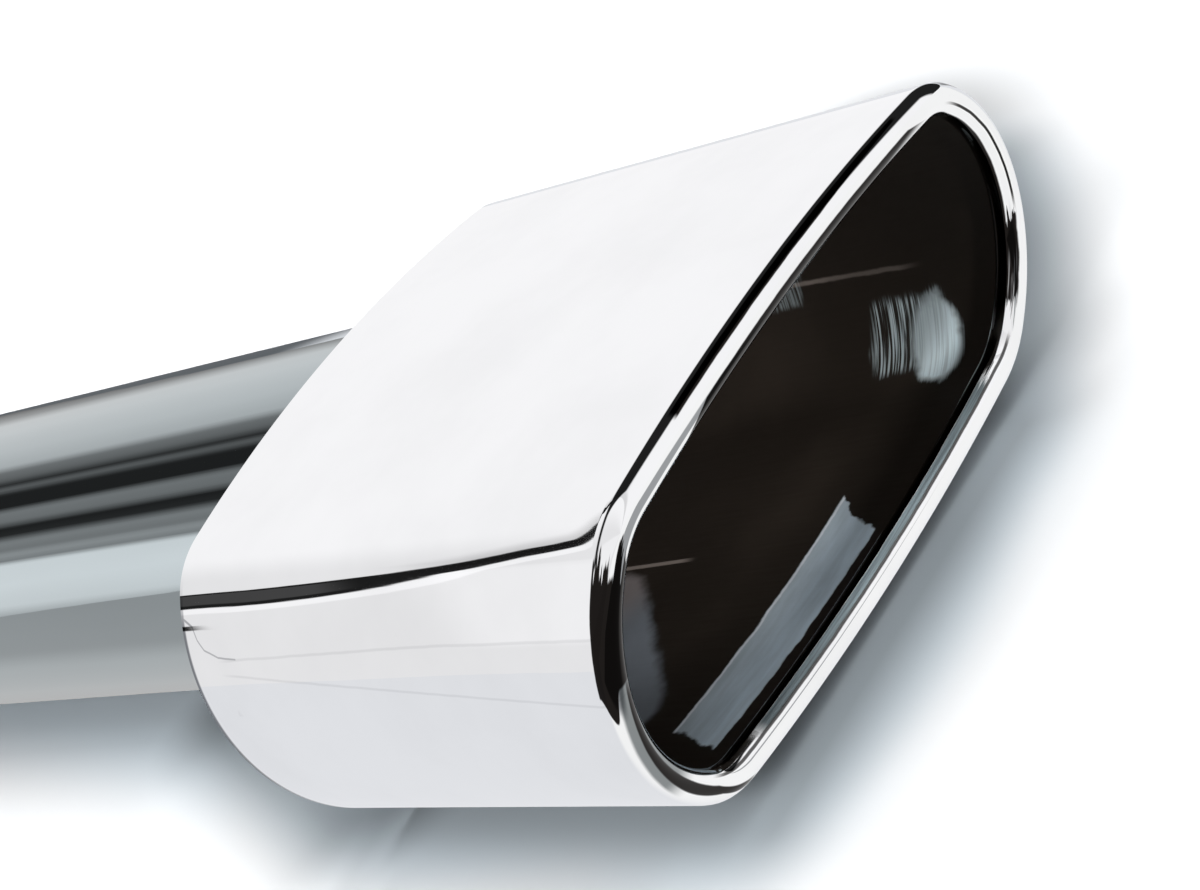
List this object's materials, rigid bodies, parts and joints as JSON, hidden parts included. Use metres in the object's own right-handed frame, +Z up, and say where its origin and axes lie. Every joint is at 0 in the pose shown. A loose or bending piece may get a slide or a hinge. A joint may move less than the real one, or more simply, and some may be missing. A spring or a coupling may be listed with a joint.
{
  "type": "exhaust tip",
  "caption": "Polished oblong exhaust tip with crowned faces, a slanted mouth with an inward-rolled lip, and a long round inlet pipe at the rear.",
  "frame": {"origin": "centre of the open rear end of the inlet pipe, where the tip is fixed to a tailpipe", "axes": "+X along the pipe towards the mouth, Y across the wide direction, +Z up with the longer wall of the slanted mouth on top"},
  "size_m": [0.4154, 0.154, 0.0792],
  "materials": {
    "polished_shell": "mirror-polished stainless sheet, satin and sooty inside",
    "dull_plate": "mill finish",
    "polished_pipe": "polished lengthwise, with a rippled weld bead at the end plate"
  },
  "bodies": {
    "root": {"shell": "polished_shell", "end_plate": "dull_plate", "inlet_pipe": "polished_pipe"}
  },
  "joints": []
}
